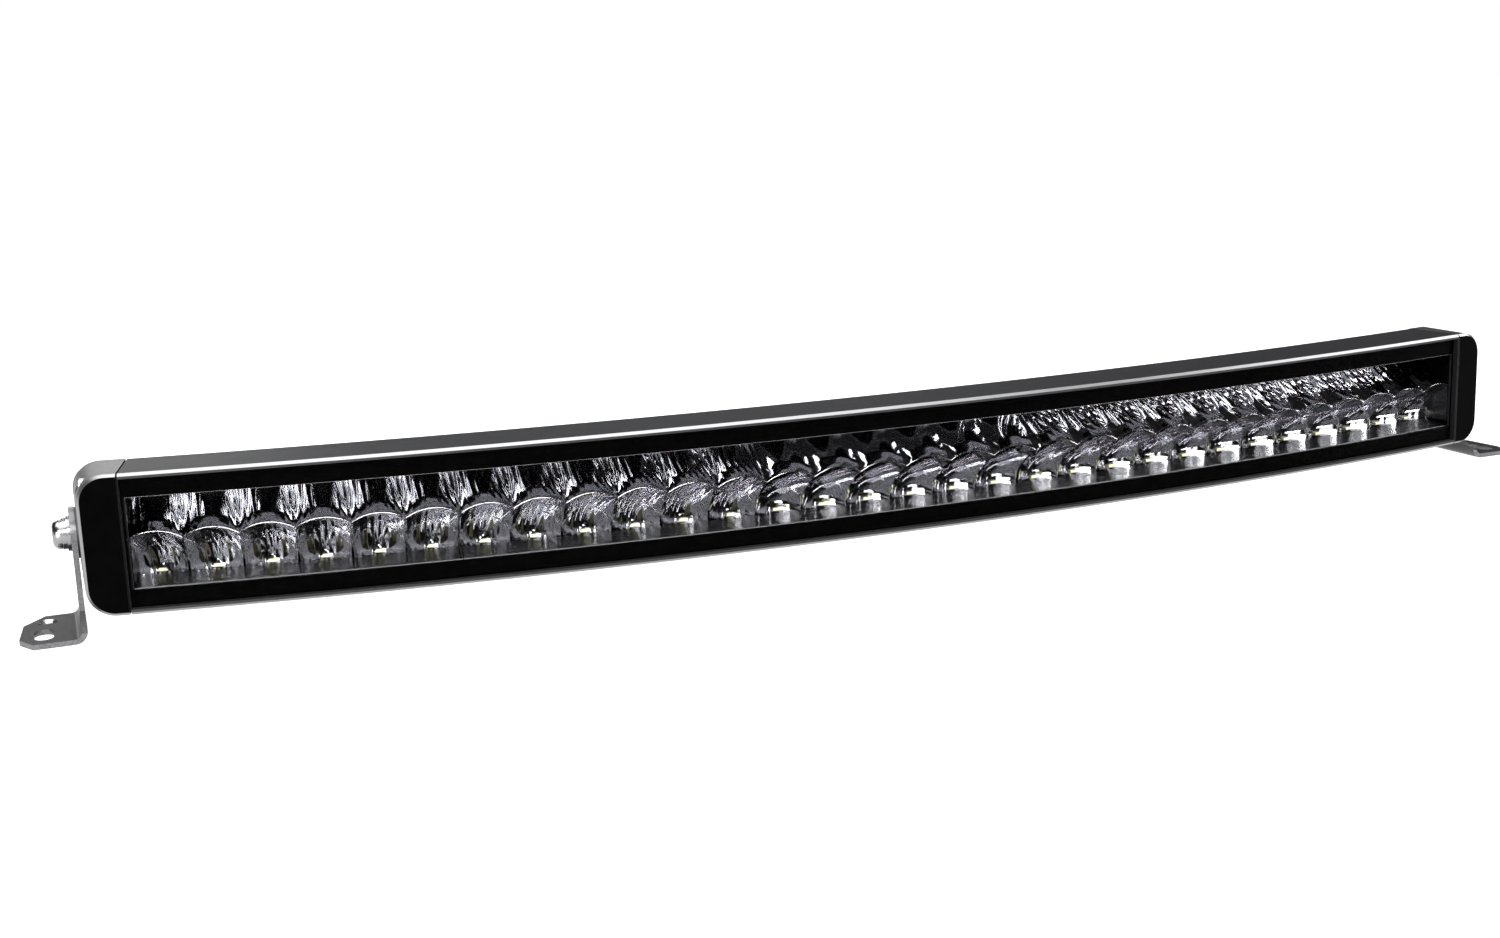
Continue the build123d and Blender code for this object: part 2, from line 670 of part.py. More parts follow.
# ---------------------------------------------------------------- export
def export_parts():
    os.makedirs("parts", exist_ok=True)
    dome = dome_cut()
    cell_runs = [cell_run(index) for index in range(CELLS)]
    modules = range(MODULES)
    screw_runs = [run for index in modules for run in module_screw_runs(index)]

    save("housing", housing())
    cap = end_cap_right()
    save("right_end_cap", cap)
    save("left_end_cap", cap.mirror(Plane.YZ))
    for name, side in SIDES.items():
        save(f"{name}_end_gasket", end_cap_gasket(side))
        save(f"{name}_end_plate", end_plate(side))
    screws = [cap_screw(side, *port) for side in SIDES.values() for port in PORTS]
    save("end_cap_screws", *screws)

    save("front_lens", front_lens())
    save("lens_mask", lens_mask())
    save("lens_seal", lens_seal())

    for index in modules:
        save(f"reflector_{index + 1}", reflector(index, dome))
        save(f"led_board_{index + 1}", led_board(index))
        save(f"shelf_{index + 1}", shelf(index))
    save("led_bodies", *[led_body(run) for run in cell_runs])
    save("led_phosphors", *[led_phosphor(run) for run in cell_runs])
    save("thermal_pads", *[thermal_pad(index) for index in modules])
    save("board_rail", board_rail())
    rail_screws = [wall_screw(module_run(index), 30.58, RAIL_SCREW_HEIGHT) for index in modules]
    save("rail_screws", *rail_screws)
    save("module_screws", *[module_screw(run) for run in screw_runs])
    save("board_links", *[board_link(index) for index in range(MODULES - 1)])

    save("driver_board", driver_board())
    save("driver_pad", driver_pad())
    driver_screws = [wall_screw(run, 30.98, DRIVER_SCREW_HEIGHT) for run in DRIVER_SCREW_RUNS]
    save("driver_screws", *driver_screws)
    save("driver_chokes", choke(-260), choke(-225), choke(-175))
    save("driver_capacitors", *[capacitor(run) for run in (-276, -243, -208, -192, -158)])
    chips = [on_driver(run, 6.0, 6.6, 2.4, 10.2) for run in (-234, -184, -148)]
    chips.append(on_driver(-130, 4.0, 8.0, 1.6, 8.0))
    save("driver_chips", *chips)
    save("terminal_block", on_driver(DRIVER_START + 5.0, FITTING_HEIGHT, 7.0, 7.5, 8.5))
    save("power_leads", power_lead(-1.3), power_lead(1.3))
    save("feed_leads", feed_lead(-1.5), feed_lead(1.5))

    save("cable_gland_body", gland_body())
    save("cable_gland_seal", gland_seal())
    save("cable_gland_nut", gland_nut())
    save("cable_gland_locknut", gland_locknut())
    save("breather_vent", breather_vent())

    bracket = bracket_right()
    for name, side in SIDES.items():
        save(f"{name}_bracket", mirror_for(side, bracket))
        save(f"{name}_pivot_pad", mirror_for(side, pivot_pad()))
        save(f"{name}_plain_washer", mirror_for(side, plain_washer()))
        save(f"{name}_thread_insert", mirror_for(side, thread_insert()))
    save("right_spring_washer", spring_washer())
    save("left_spring_washer", turned(spring_washer()))
    save("right_pivot_bolt", pivot_bolt())
    save("left_pivot_bolt", turned(pivot_bolt()))


export_parts()
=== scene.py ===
import json
import math

import bpy
import numpy as np
from mathutils import Matrix, Vector


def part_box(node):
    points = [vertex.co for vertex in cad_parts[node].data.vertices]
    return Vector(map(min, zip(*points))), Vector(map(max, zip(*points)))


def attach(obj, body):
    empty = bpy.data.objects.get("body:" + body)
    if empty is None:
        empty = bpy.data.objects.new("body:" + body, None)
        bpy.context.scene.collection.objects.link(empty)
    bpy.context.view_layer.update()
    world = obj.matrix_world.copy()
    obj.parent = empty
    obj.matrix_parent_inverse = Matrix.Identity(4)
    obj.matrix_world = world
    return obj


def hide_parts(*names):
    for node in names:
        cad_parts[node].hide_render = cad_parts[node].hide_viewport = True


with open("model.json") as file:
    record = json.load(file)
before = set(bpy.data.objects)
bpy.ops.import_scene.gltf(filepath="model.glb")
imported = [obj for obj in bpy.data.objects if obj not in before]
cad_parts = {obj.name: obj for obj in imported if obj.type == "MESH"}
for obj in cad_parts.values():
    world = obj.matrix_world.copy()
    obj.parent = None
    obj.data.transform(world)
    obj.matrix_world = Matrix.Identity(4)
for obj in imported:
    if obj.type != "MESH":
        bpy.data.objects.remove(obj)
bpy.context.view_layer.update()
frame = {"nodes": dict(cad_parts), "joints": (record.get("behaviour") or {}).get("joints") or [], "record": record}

# Sizes are in millimetres, unless a comment says otherwise. A place on the bar is a run along the
# front face's arc, a depth in from the face and a height above the middle of the housing.

# ------------------------------------------------------------------ the bar's arc
MM = 0.001
R = 2090.0                     # radius of the front face in plan
PITCH = 25.4                   # from one cell to the next
CELLS = 30
MODULE_CELLS = 6
MODULES = CELLS // MODULE_CELLS
MODULE_RUN = PITCH * MODULE_CELLS
HALF_RUN = PITCH * CELLS / 2
HOUSING_LOW, HOUSING_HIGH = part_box("housing")
FACE_Y = HOUSING_LOW.y
MID_Z = (HOUSING_LOW.z + HOUSING_HIGH.z) / 2
AXIS_Y = FACE_Y + R * MM       # the arc's centre, in plan
PIVOT_HEIGHT = frame["joints"][0]["pos_m"][2] / MM
NODES = frame["nodes"]


def on_arc(run, depth, height):
    """Points in the frame, in metres, for places on the bar."""
    angle = np.asarray(run, float) / R
    reach = (R - np.asarray(depth, float)) * MM
    x = reach * np.sin(angle)
    y = AXIS_Y - reach * np.cos(angle)
    z = MID_Z + np.asarray(height, float) * MM
    x, y, z = np.broadcast_arrays(x, y, z)
    return np.stack([x, y, z], -1)


def cell_run(index):
    return (index - (CELLS - 1) / 2) * PITCH


def module_centre(module):
    return (module - (MODULES - 1) / 2) * MODULE_RUN


# ------------------------------------------------------------------ materials
def material(name, color, metallic=0.0, rough=0.5, spec=0.5, tone=0.12, rough_span=0.08,
             scale=300.0, stretch=(1, 1, 1), bump=0.1, relief=0.00005, alpha=None,
             glow=None, glow_strength=0.0):
    """Principled surface whose tone, roughness and relief follow one stretched noise."""
    mat = bpy.data.materials.new(name)
    mat.use_nodes = True
    nodes, links = mat.node_tree.nodes, mat.node_tree.links
    shader = nodes["Principled BSDF"]
    shader.inputs["Metallic"].default_value = metallic
    shader.inputs["Specular IOR Level"].default_value = spec
    if glow:
        shader.inputs["Emission Color"].default_value = (*glow, 1)
        shader.inputs["Emission Strength"].default_value = glow_strength
    if alpha is not None:
        shader.inputs["Alpha"].default_value = alpha
    place = nodes.new("ShaderNodeTexCoord")
    warp = nodes.new("ShaderNodeMapping")
    warp.inputs["Scale"].default_value = stretch
    noise = nodes.new("ShaderNodeTexNoise")
    noise.inputs["Scale"].default_value = scale
    noise.inputs["Detail"].default_value = 5.0
    links.new(place.outputs["Object"], warp.inputs["Vector"])
    links.new(warp.outputs["Vector"], noise.inputs["Vector"])
    ramp = nodes.new("ShaderNodeValToRGB")
    low = [max(0.0, c * (1 - tone)) for c in color]
    high = [min(1.0, c * (1 + tone)) for c in color]
    ramp.color_ramp.elements[0].position = 0.3
    ramp.color_ramp.elements[0].color = (*low, 1)
    ramp.color_ramp.elements[1].position = 0.7
    ramp.color_ramp.elements[1].color = (*high, 1)
    links.new(noise.outputs["Fac"], ramp.inputs["Fac"])
    links.new(ramp.outputs["Color"], shader.inputs["Base Color"])
    spread = nodes.new("ShaderNodeMapRange")
    spread.inputs["To Min"].default_value = max(0.0, rough - rough_span)
    spread.inputs["To Max"].default_value = min(1.0, rough + rough_span)
    links.new(noise.outputs["Fac"], spread.inputs["Value"])
    links.new(spread.outputs["Result"], shader.inputs["Roughness"])
    if bump:
        dent = nodes.new("ShaderNodeBump")
        dent.inputs["Strength"].default_value = bump
        dent.inputs["Distance"].default_value = relief
        links.new(noise.outputs["Fac"], dent.inputs["Height"])
        links.new(dent.outputs["Normal"], shader.inputs["Normal"])
    return mat


ALONG = (0.06, 1.0, 1.0)       # noise drawn out into streaks along the bar
BACKWARD = (1.0, 0.12, 1.0)    # noise drawn out into streaks from front to back

M = {
    # the body
    "satin": material("satin_anodised", (0.010, 0.010, 0.011), 0.0, 0.45, spec=0.025, tone=0.16,
                      scale=900, stretch=ALONG, bump=0.25, relief=0.00003),
    "chamfer": material("polished_chamfer", (0.24, 0.24, 0.245), 1.0, 0.34, tone=0.05,
                        rough_span=0.05, scale=700, stretch=ALONG, bump=0.1, relief=0.00002),
    "inner": material("inner_black", (0.012, 0.012, 0.012), 0.0, 0.6, spec=0.2),
    "gloss": material("gloss_black", (0.0005, 0.0005, 0.0005), 0.0, 0.12, spec=0.008, tone=0.3,
                      rough_span=0.03, scale=140, bump=0.0),
    "cap": material("cap_lacquer", (0.014, 0.014, 0.015), 0.0, 0.36, spec=0.09, tone=0.25,
                    rough_span=0.06, scale=420, bump=0.08, relief=0.00003),
    "lens": material("clear_cover", (0.0, 0.0, 0.0), 0.0, 0.03, spec=0.0, tone=0.05,
                     rough_span=0.01, bump=0.0, alpha=0.03),
    "silicone": material("silicone", (0.004, 0.004, 0.004), 0.0, 0.6, spec=0.08, tone=0.3,
                         scale=700),
    "mould": material("moulded_black", (0.022, 0.022, 0.023), 0.0, 0.4, tone=0.2, scale=1500,
                      bump=0.2, relief=0.00004),
    # the reflectors
    "mirror": material("vacuum_metallised", (0.52, 0.52, 0.54), 1.0, 0.05, tone=0.08,
                       rough_span=0.02, scale=160, bump=0.0),
    "rim": material("bright_rim", (0.22, 0.22, 0.224), 1.0, 0.2, tone=0.05, rough_span=0.05,
                    scale=300),
    "shelf": material("polished_shelf", (0.10, 0.10, 0.106), 1.0, 0.24, tone=0.14,
                      rough_span=0.06, scale=500, stretch=BACKWARD, bump=0.1, relief=0.00003),
    "cave_floor": material("cave_floor", (0.24, 0.24, 0.25), 1.0, 0.08, tone=0.1,
                           rough_span=0.03, scale=500, stretch=BACKWARD, bump=0.0),
    # the brackets and their fixings
    "coat": material("powder_coat", (0.018, 0.018, 0.019), 0.0, 0.38, spec=0.45, tone=0.3,
                     rough_span=0.1, scale=2600, bump=0.35, relief=0.00004),
    "cut_edge": material("cut_edge", (0.12, 0.12, 0.124), 0.9, 0.36, tone=0.3, rough_span=0.12,
                         scale=900),
    "foot": material("foot_brushed", (0.014, 0.014, 0.015), 0.0, 0.45, spec=0.03, tone=0.22,
                     rough_span=0.1, scale=1100, stretch=(1.0, 0.1, 1.0), bump=0.25,
                     relief=0.00003),
    "sink": material("countersink", (0.45, 0.45, 0.45), 1.0, 0.25, tone=0.06, rough_span=0.05,
                     scale=1500),
    "steel": material("bolt_steel", (0.24, 0.24, 0.244), 1.0, 0.24, tone=0.08, scale=1200,
                      stretch=(0.2, 1, 1), bump=0.08, relief=0.00002),
    "screw": material("screw_steel", (0.42, 0.42, 0.43), 1.0, 0.3, tone=0.1, scale=1200),
    "brass": material("brass", (0.70, 0.52, 0.24), 1.0, 0.3, scale=900),
    "nylon": material("nylon", (0.03, 0.03, 0.03), 0.0, 0.5, scale=900),
    # the light sources, with their painted glints, and the electronics
    "board": material("board_white", (0.78, 0.78, 0.75), 0.0, 0.45, tone=0.05, scale=400),
    "package": material("led_package", (0.82, 0.82, 0.78), 0.0, 0.3, tone=0.05, scale=900),
    "phosphor": material("led_phosphor", (0.06, 0.058, 0.02), 0.0, 0.4, tone=0.1, scale=900),
    # painted glint: a pale yellow colour that glows, standing in for a highlight on each emitter's front edge; the
    # emitters are not lit as lamps
    "glint": material("led_glint", (0.85, 0.88, 0.35), 0.0, 0.3, tone=0.05, scale=900,
                      glow=(0.95, 1.0, 0.5), glow_strength=0.5),
    "pad": material("thermal_pad", (0.4, 0.4, 0.41), 0.0, 0.7, scale=900),
    "rail": material("mill_aluminium", (0.55, 0.55, 0.56), 1.0, 0.35, scale=600, stretch=ALONG),
    "driver": material("solder_mask", (0.02, 0.16, 0.07), 0.0, 0.35, tone=0.2, scale=600),
    "part_black": material("component_black", (0.03, 0.03, 0.03), 0.0, 0.5, scale=900),
    "can": material("can_aluminium", (0.6, 0.6, 0.61), 1.0, 0.3, scale=900),
    "terminal": material("terminal_green", (0.06, 0.3, 0.12), 0.0, 0.45, scale=900),
    "lead": material("lead_red", (0.35, 0.02, 0.02), 0.0, 0.4, scale=900),
    # what the bar stands on
    "floor": material("pale_floor", (0.3, 0.3, 0.3), 0.0, 0.7, spec=0.1, tone=0.01, scale=12,
                      bump=0.0, glow=(1, 1, 1), glow_strength=1.0),
}

# the look of each of the record's material slots
SLOT_LOOK = {
    "housing_black": "satin", "cap_black": "cap", "bracket_black": "coat",
    "bolt_steel": "steel", "steel_screw": "screw", "brass_insert": "brass",
    "nylon_pad": "nylon", "silicone": "silicone", "clear_lens": "lens", "gloss_black": "gloss",
    "metallised": "mirror", "polished_sheet": "shelf", "rail_aluminium": "rail",
    "board_white": "board", "led_white": "package", "led_yellow": "phosphor",
    "pad_grey": "pad", "connector_white": "package", "driver_green": "driver",
    "component_black": "part_black", "can_silver": "can", "terminal_green": "terminal",
    "lead_insulation": "lead", "gland_black": "mould",
}


def dress_nodes():
    """Gives every CAD node the look of its material slot."""
    for subpart in frame["record"]["subparts"]:
        for holder in NODES[subpart["node"]].material_slots:
            holder.material = M[SLOT_LOOK[subpart["material_slot"]]]


# ------------------------------------------------------------------ mesh helpers
def linked(name, data):
    """New object in the scene."""
    obj = bpy.data.objects.new(name, data)
    bpy.context.scene.collection.objects.link(obj)
    return obj


class Builder:
    """Collects grids and sweeps into one mesh. A look is a number in the list given to make."""

    def __init__(self):
        self.verts, self.faces, self.looks, self.count = [], [], [], 0

    def grid(self, points, look=0, flip=False):
        """A sheet of quads through rows of points."""
        rows, cols = points.shape[:2]
        index = np.arange(rows * cols).reshape(rows, cols) + self.count
        a, b, c, d = index[:-1, :-1], index[:-1, 1:], index[1:, 1:], index[1:, :-1]
        quads = np.stack([a, d, c, b] if flip else [a, b, c, d], -1).reshape(-1, 4)
        self.verts.append(points.reshape(-1, 3))
        self.faces.extend(quads.tolist())
        self.looks.extend([look] * len(quads))
        self.count += rows * cols

    def sweep(self, section, runs, looks):
        """A closed loop of (depth, height) points along the arc, with one look per side."""
        section = np.asarray(section, float)
        runs = np.asarray(runs, float)
        count = len(section)
        points = on_arc(runs[:, None], section[None, :, 0], section[None, :, 1])
        base = self.count
        last = base + (len(runs) - 1) * count
        self.verts.append(points.reshape(-1, 3))
        self.count += len(runs) * count
        for a in range(base, last, count):
            b = a + count
            for j in range(count):
                k = (j + 1) % count
                self.faces.append((a + j, a + k, b + k, b + j))
                self.looks.append(looks[j])
        self.faces.append(tuple(base + j for j in reversed(range(count))))
        self.faces.append(tuple(last + j for j in range(count)))
        self.looks.extend([looks[0], looks[0]])

    def make(self, name, looks, body="bar", sharp=35.0):
        """The finished piece, smooth except across sharp edges, riding on a body."""
        mesh = bpy.data.meshes.new(name)
        mesh.from_pydata(np.concatenate(self.verts).tolist(), [], self.faces)
        for look in looks:
            mesh.materials.append(M[look])
        mesh.polygons.foreach_set("material_index", np.asarray(self.looks, np.int32))
        mesh.polygons.foreach_set("use_smooth", np.ones(len(mesh.polygons), bool))
        mesh.update()
        mesh.set_sharp_from_angle(angle=math.radians(sharp))
        obj = linked(name, mesh)
        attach(obj, body)
        return obj


# ------------------------------------------------------------------ finishes by face
CHAMFER_BACK = 1.4             # the polished front edge lies in front of this depth
CAP_FRONT_BACK = 2.5           # and the black front of an end cap in front of this one
CAVITY_BACK = 34.0             # the housing's cavity is this deep
CAVITY_HALF = 31.5             # and half as high as this, above and below the middle
FOOT_OUT = 405.0               # the feet's outer edges lie outside this x
SINK_OUT = 408.0               # and their countersinks outside this one
SHEET = 2.5                    # the brackets' sheet


def refinished(node, name, looks, choose, body="bar"):
    """Copy of a CAD node's own mesh whose faces carry more than one finish."""
    mesh = NODES[node].data.copy()
    mesh.name = name
    mesh.materials.clear()
    for look in looks:
        mesh.materials.append(M[look])
    count = len(mesh.polygons)
    centre = np.empty(count * 3)
    normal = np.empty(count * 3)
    mesh.polygons.foreach_get("center", centre)
    mesh.polygons.foreach_get("normal", normal)
    centre, normal = centre.reshape(-1, 3), normal.reshape(-1, 3)
    plan = centre[:, :2] - np.array([0.0, AXIS_Y])
    reach = np.linalg.norm(plan, axis=1)
    depth = R - reach / MM
    height = (centre[:, 2] - MID_Z) / MM
    outward = (normal[:, :2] * plan).sum(1) / reach
    chosen = choose(centre / MM, normal, depth, height, outward)
    mesh.polygons.foreach_set("material_index", chosen.astype(np.int32))
    mesh.update()
    obj = linked(name, mesh)
    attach(obj, body)
    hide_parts(node)
    return obj


def housing_look(centre, normal, depth, height, outward):
    """0 body, 1 polished edge, 2 inside."""
    chamfer = (depth < CHAMFER_BACK) & (np.abs(height) > CAVITY_HALF)
    chamfer &= (outward > 0.4) & (np.abs(normal[:, 2]) > 0.4)
    inside = (depth < CAVITY_BACK) & (np.abs(height) < CAVITY_HALF)
    return np.where(chamfer, 1, np.where(inside, 2, 0))


def cap_look(centre, normal, depth, height, outward):
    """0 lacquer, 1 polished edge, 2 black front."""
    chamfer = (depth < CHAMFER_BACK) & (outward > 0.35) & (outward < 0.93)
    front = (depth < CAP_FRONT_BACK) & (outward >= 0.93)
    return np.where(chamfer, 1, np.where(front, 2, 0))


def bracket_look(centre, normal, depth, height, outward):
    """0 coat, 1 cut edge, 2 top of the foot, 3 countersink."""
    x, z = np.abs(centre[:, 0]), centre[:, 2]
    edge = np.abs(normal[:, 1]) > 0.15
    edge |= (z > PIVOT_HEIGHT + 3) & (np.abs(normal[:, 0]) < 0.5)
    edge |= (x > FOOT_OUT) & (np.abs(normal[:, 0]) > 0.4) & (z < SHEET)
    slope = (normal[:, 2] > 0.3) & (normal[:, 2] < 0.92) & (x > SINK_OUT) & (z < SHEET + 0.5)
    foot = (normal[:, 2] > 0.92) & (z < SHEET + 1.5)
    return np.where(slope, 3, np.where(edge, 1, np.where(foot, 2, 0)))


def build_finishes():
    refinished("housing", "housing_finished", ["satin", "chamfer", "inner"],
               housing_look)
    for side in ("left", "right"):
        refinished(f"{side}_end_cap", f"{side}_cap_finished", ["cap", "chamfer", "gloss"],
                   cap_look)
        refinished(f"{side}_bracket", f"{side}_bracket_finished",
                   ["coat", "cut_edge", "foot", "sink"],
                   bracket_look, f"{side}_bracket")


# ------------------------------------------------------------------ reflectors
DOME_AXIS = -18.8              # height of the caves' axis, at the emitters
FOCAL = 4.67                   # focal length of the paraboloid
VERTEX = 32.57                 # its deepest point
RIM = 4.1                      # depth of the caves' front rim
RIM_RADIUS = math.sqrt(4 * FOCAL * (VERTEX - RIM))
CAVE_END = 0.6                 # radius at which a cave ends, behind its emitter
CAVE_TURN = math.pi / 2 + 0.5  # how far round a cave goes, either way from its top
LAND = 0.45                    # width of the lip between a cave and its scoop
SCOOP_BACK = 31.0              # depth of a scoop at its top
SCOOP_TOP = 24.6
SCOOP_CURVE = 1.12             # a scoop's profile, 1 being straight
WEB_START = 0.35               # the webs between scoops start this far up
LEAN = 3.0                     # how far a scoop's flutes lean to one side, top to bottom
MODULE_GAP = 0.35              # a moulding is this much shorter than its cells' pitch needs
EDGE_GAP = 0.2                 # and its lips and shelf stop this far from each end
FLUTES = ((3.4, 0.32), (3.4, 0.32), (0.0, 0.0), (5.1, 0.34), (5.1, 0.34))   # pitch, depth by module

# sections, as (depth, height) points
TOP_LIP = [(4.3, 20.95), (4.3, 21.6), (4.9, 21.6), (4.9, 21.1)]
TOP_PLATE = [(5.0, 24.4), (32.0, 24.4), (32.0, 25.0), (5.0, 25.0)]
SHELF_PLATE = [(4.6, -22.6), (4.6, -21.7), (4.9, -21.55), (5.6, -21.75), (19.5, -19.4),
               (32.4, -19.4), (32.4, -20.2), (19.5, -20.2)]
# section of the painted glint: a thin strip that glows on each emitter's front edge
GLINT_STRIP = [(26.0, -18.95), (25.9, -18.6), (26.1, -18.5), (26.3, -18.6), (26.3, -18.95)]
PACKAGE_EDGE = [(25.3, -19.4), (25.3, -19.05), (25.5, -18.95), (25.6, -19.4)]


def module_runs(run, module):
    """Closes each moulding up a little, so a thin joint shows between neighbours."""
    centre = module_centre(module)
    return centre + (run - centre) * (1 - MODULE_GAP / MODULE_RUN)


def dome(build, run, module):
    """Half-paraboloid cave round one light source."""
    pitch, relief = FLUTES[module]
    rows, cols, power = (44, 110, 1.72) if relief else (44, 44, 2.0)
    radius = np.linspace(RIM_RADIUS, CAVE_END, rows)[:, None]
    depth = VERTEX - (VERTEX - RIM) * (radius / RIM_RADIUS) ** power
    half = PITCH / 2
    limit = np.where(radius > half, np.arcsin(np.clip(half / radius, -1, 1)), CAVE_TURN)
    turn = np.linspace(-1, 1, cols)[None, :] * np.minimum(limit, CAVE_TURN)
    x = radius * np.sin(turn)
    if relief:
        flute = 0.7 * relief * np.abs(np.cos(x * math.pi / pitch))
        depth = depth + flute * np.clip((RIM_RADIUS - radius) / 1.5, 0, 1)
    height = DOME_AXIS + radius * np.cos(turn)
    build.grid(on_arc(module_runs(run + x, module), depth, height), 0)


def rim_height(x, grow=0.0):
    return DOME_AXIS + np.sqrt((RIM_RADIUS + grow) ** 2 - x ** 2)


def rim_land(build, run, module):
    """Rounded lip between the cave and the scoop above it."""
    x = np.linspace(-PITCH / 2, PITCH / 2, 33)
    profile = ((0.0, RIM), (0.08, RIM - 0.22), (0.22, RIM - 0.32), (LAND - 0.06, RIM - 0.24),
               (LAND, RIM))
    rows = [on_arc(module_runs(run + x, module), depth, rim_height(x, grow))
            for grow, depth in profile]
    build.grid(np.stack(rows), 1)


def scoop(build, run, module):
    """Concave upper wall of one cell, from the rim up to the top of the window."""
    pitch, relief = FLUTES[module]
    rows, cols = (26, 128) if relief else (30, 48)
    x = np.linspace(-PITCH / 2, PITCH / 2, cols)[None, :]
    up = np.linspace(0, 1, rows)[:, None]
    low = rim_height(x, LAND)
    height = low + (SCOOP_TOP - low) * up ** SCOOP_CURVE
    across = np.abs(x) / (PITCH / 2)
    hollow = (1 - across ** 2) * (1.4 * np.clip(up * 5, 0, 1) + 1.6 * up)
    depth = RIM + (SCOOP_BACK - RIM) * (1 - (1 - up) ** SCOOP_CURVE) + hollow
    web = np.clip(up - WEB_START, 0, 1) ** 2 * 2.6
    edge = 1 - 0.09 - 0.25 * np.clip(up - 0.4, 0, 1)
    depth = depth + web * np.clip((across - edge) / 0.1, 0, 1)
    if relief:
        flute = relief * np.abs(np.cos((x + LEAN * up) * math.pi / pitch))
        depth = depth + flute * np.clip(up * 14, 0, 1)
    build.grid(on_arc(module_runs(run + x + 0 * up, module), depth, height), 0, flip=True)


def module_edges(build, module):
    """Bright top lip, top plate, and the dark back webs behind the joints to the neighbours."""
    start = module_centre(module) - MODULE_RUN / 2
    end = module_centre(module) + MODULE_RUN / 2
    runs = np.linspace(start + EDGE_GAP, end - EDGE_GAP, 25)
    build.sweep(TOP_LIP, runs, [1, 1, 1, 1])
    build.sweep(TOP_PLATE, runs, [0, 2, 2, 2])
    for run in (start, end):
        web = np.array([run - 1.2, run + 1.2])
        build.grid(np.stack([on_arc(web, 33.1, -19.0), on_arc(web, 33.1, 28.0)]), 2)


def build_reflectors():
    for module in range(MODULES):
        build = Builder()
        for number in range(MODULE_CELLS):
            run = cell_run(module * MODULE_CELLS + number)
            dome(build, run, module)
            rim_land(build, run, module)
            scoop(build, run, module)
        module_edges(build, module)
        obj = build.make(f"reflector_optics_{module + 1}", ["mirror", "rim", "inner"],
                         sharp=50)
        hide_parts(f"reflector_{module + 1}")


def build_shelf():
    """Polished floor of the reflectors, one length per module with a thin joint."""
    reach = HALF_RUN - 2.4
    for module in range(MODULES):
        build = Builder()
        start = max(module_centre(module) - MODULE_RUN / 2 + EDGE_GAP, -reach)
        end = min(module_centre(module) + MODULE_RUN / 2 - EDGE_GAP, reach)
        build.sweep(SHELF_PLATE, np.linspace(start, end, 25), [1, 1, 1, 0, 2, 0, 0, 0])
        obj = build.make(f"shelf_plate_{module + 1}", ["shelf", "rim", "cave_floor"])
        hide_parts(f"shelf_{module + 1}")


def build_led_edges():
    """Painted glint, a thin glowing strip along the front edge of each emitter, with the pale package rim beside
    it.
    """
    build = Builder()
    for index in range(CELLS):
        run = cell_run(index)
        # painted glint: a glowing strip standing in for a highlight on the emitter
        build.sweep(GLINT_STRIP, [run - 1.7, run, run + 1.7], [0] * 5)
        build.sweep(PACKAGE_EDGE, [run - 2.4, run, run + 2.4], [1] * 4)
    build.make("led_edges", ["glint", "package"])


def build_end_panels():
    """Lower half of each end wall, with its bright lip at the height of the rims."""
    build = Builder()
    depths = np.array([5.0, 30.5])
    low, high = -19.3, 0.6
    lip = ((0.0, high), (0.45, high), (0.5, high + 0.2), (0.45, high + 0.4), (0.0, high + 0.4))
    for side in (-1, 1):
        run = side * (HALF_RUN - 2.55)
        wall = on_arc(run, depths[None, :], np.array([low, high])[:, None])
        build.grid(wall, 0, flip=side < 0)
        rows = [on_arc(run - side * inset, depths, height) for inset, height in lip]
        build.grid(np.stack(rows), 1, flip=side < 0)
    build.make("end_panels", ["shelf", "rim"])


# ------------------------------------------------------------------ stage, light, camera
FLOOR_RADIUS = 16.0            # metres
FLOOR_SIDES = 96

# soft boxes and strips: place and aim in metres, width and height in metres, watts
LIGHTS = {
    "top_box": ((-0.3, -0.2, 2.4), (-0.1, 0.0, 0), (3.8, 2.0), 115),
    "right_box": ((2.3, 0.0, 1.6), (0, 0, 0.05), (0.9, 1.2), 24),
    "right_strip": ((1.35, -1.6, 0.45), (0, 0, 0.05), (0.25, 0.8), 9),
    "right_wide": ((1.75, -0.85, 0.42), (0.3, 0, 0.05), (0.28, 0.7), 9),
    "left_strip": ((-0.95, -1.7, 0.55), (0, 0, 0.05), (0.8, 1.0), 15),
    "left_wide": ((-1.5, -1.25, 0.30), (-0.25, 0, 0.05), (0.8, 0.6), 40),
    "back_left": ((-0.55, 1.7, 0.62), (-0.35, 0, 0.05), (0.9, 0.3), 5.5),
    "back_fill": ((0.5, 2.2, 1.9), (0, 0, 0.05), (1.6, 0.6), 40),
    "front_fill": ((-0.6, -2.4, 1.7), (0, -0.2, 0), (2.2, 0.6), 80),
}


def build_stage():
    """Round floor, lit from below like a light table."""
    turns = [step / FLOOR_SIDES * 2 * math.pi for step in range(FLOOR_SIDES)]
    verts = [(FLOOR_RADIUS * math.cos(turn), FLOOR_RADIUS * math.sin(turn), 0.0)
             for turn in turns]
    mesh = bpy.data.meshes.new("floor")
    mesh.from_pydata(verts, [], [tuple(range(FLOOR_SIDES))])
    mesh.materials.append(M["floor"])
    M["floor"].cycles.emission_sampling = "NONE"
    obj = linked("floor", mesh)


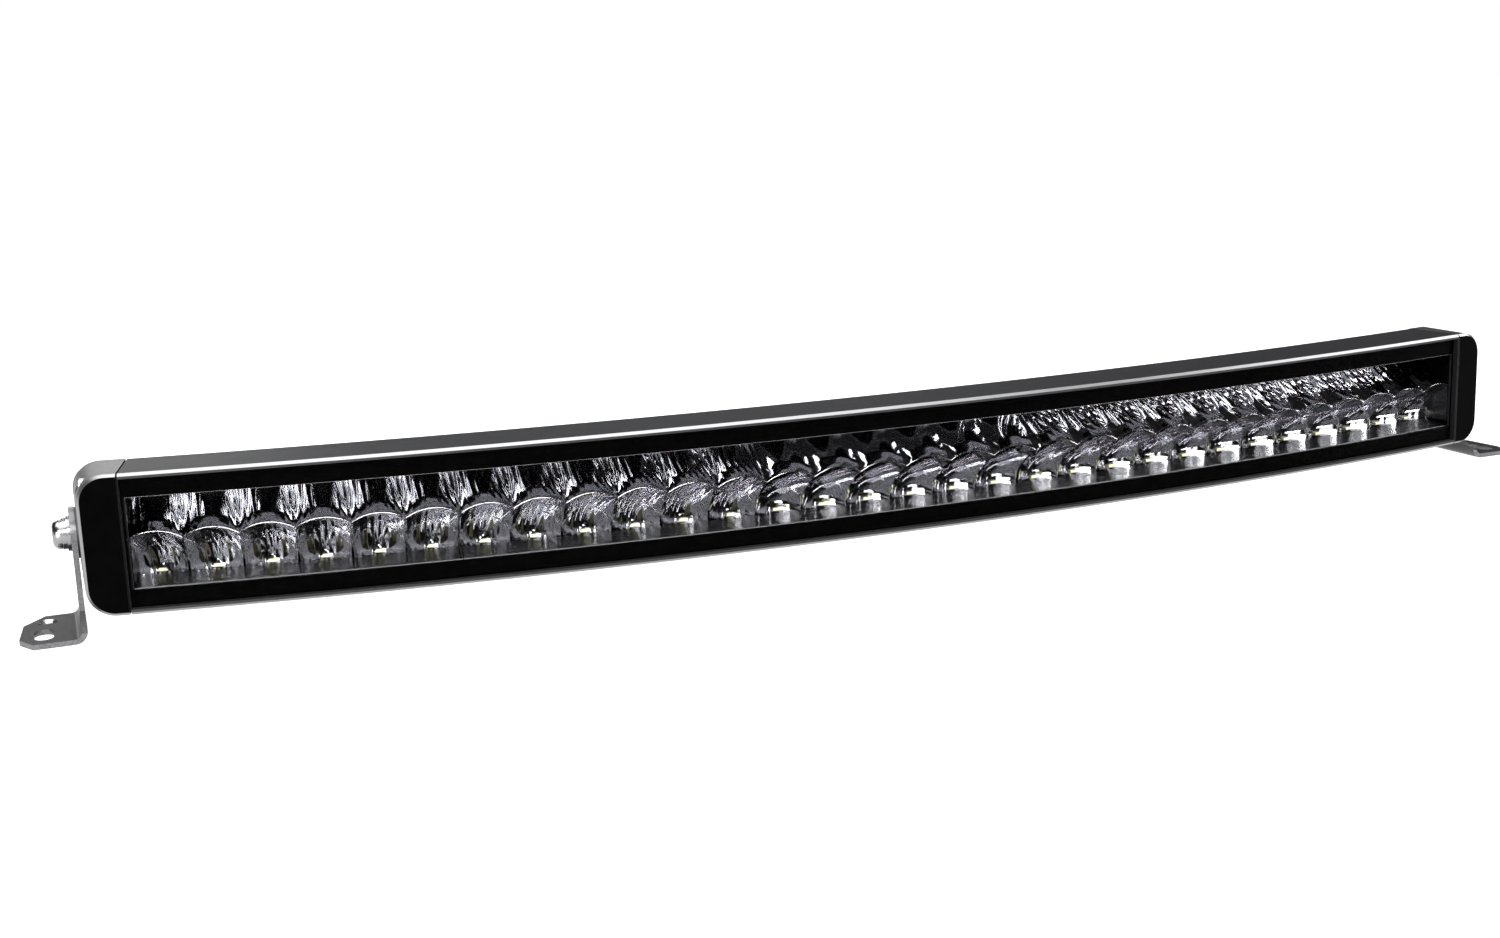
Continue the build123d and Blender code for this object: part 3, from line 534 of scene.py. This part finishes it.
def build_lights():
    """Area lights, in a room that is white up to just above the horizon and dim overhead."""
    for name, (spot, aim, size, power) in LIGHTS.items():
        data = bpy.data.lights.new(name, "AREA")
        data.shape = "RECTANGLE"
        data.size, data.size_y = size
        data.energy = power
        obj = linked(name, data)
        obj.location = spot
        obj.rotation_euler = (Vector(aim) - Vector(spot)).to_track_quat("-Z", "Y").to_euler()
    world = bpy.data.worlds.new("studio")
    bpy.context.scene.world = world
    world.use_nodes = True
    nodes, links = world.node_tree.nodes, world.node_tree.links
    way = nodes.new("ShaderNodeTexCoord")
    split = nodes.new("ShaderNodeSeparateXYZ")
    fall = nodes.new("ShaderNodeValToRGB")
    fall.color_ramp.elements[0].position = 0.06
    fall.color_ramp.elements[0].color = (1.0, 1.0, 1.0, 1)
    fall.color_ramp.elements[1].position = 0.15
    fall.color_ramp.elements[1].color = (0.045, 0.045, 0.045, 1)
    links.new(way.outputs["Generated"], split.inputs["Vector"])
    links.new(split.outputs["Z"], fall.inputs["Fac"])
    links.new(fall.outputs["Color"], nodes["Background"].inputs["Color"])


def build_camera():
    """A camera from the front left and a little above, in radians and metres."""
    azimuth, elevation, roll = -0.3651, 0.2092, -0.0364
    spot = Vector((-0.40494, FACE_Y - 0.83205, MID_Z + 0.19862))
    forward = Vector((-math.sin(azimuth) * math.cos(elevation),
                      math.cos(azimuth) * math.cos(elevation), -math.sin(elevation)))
    right = forward.cross(Vector((0, 0, 1))).normalized()
    up = right.cross(forward)
    side = right * math.cos(roll) + up * math.sin(roll)
    head = -right * math.sin(roll) + up * math.cos(roll)
    data = bpy.data.cameras.new("camera")
    data.sensor_width = 36.0
    data.lens = 44.62
    data.clip_start = 0.01
    obj = linked("camera", data)
    place = Matrix((side, head, -forward)).transposed().to_4x4()
    place.translation = spot
    obj.matrix_world = place
    bpy.context.scene.camera = obj


dress_nodes()
build_finishes()
build_reflectors()
build_shelf()
build_led_edges()
build_end_panels()
build_stage()
build_lights()
build_camera()
bpy.context.scene.view_settings.view_transform = "Standard"
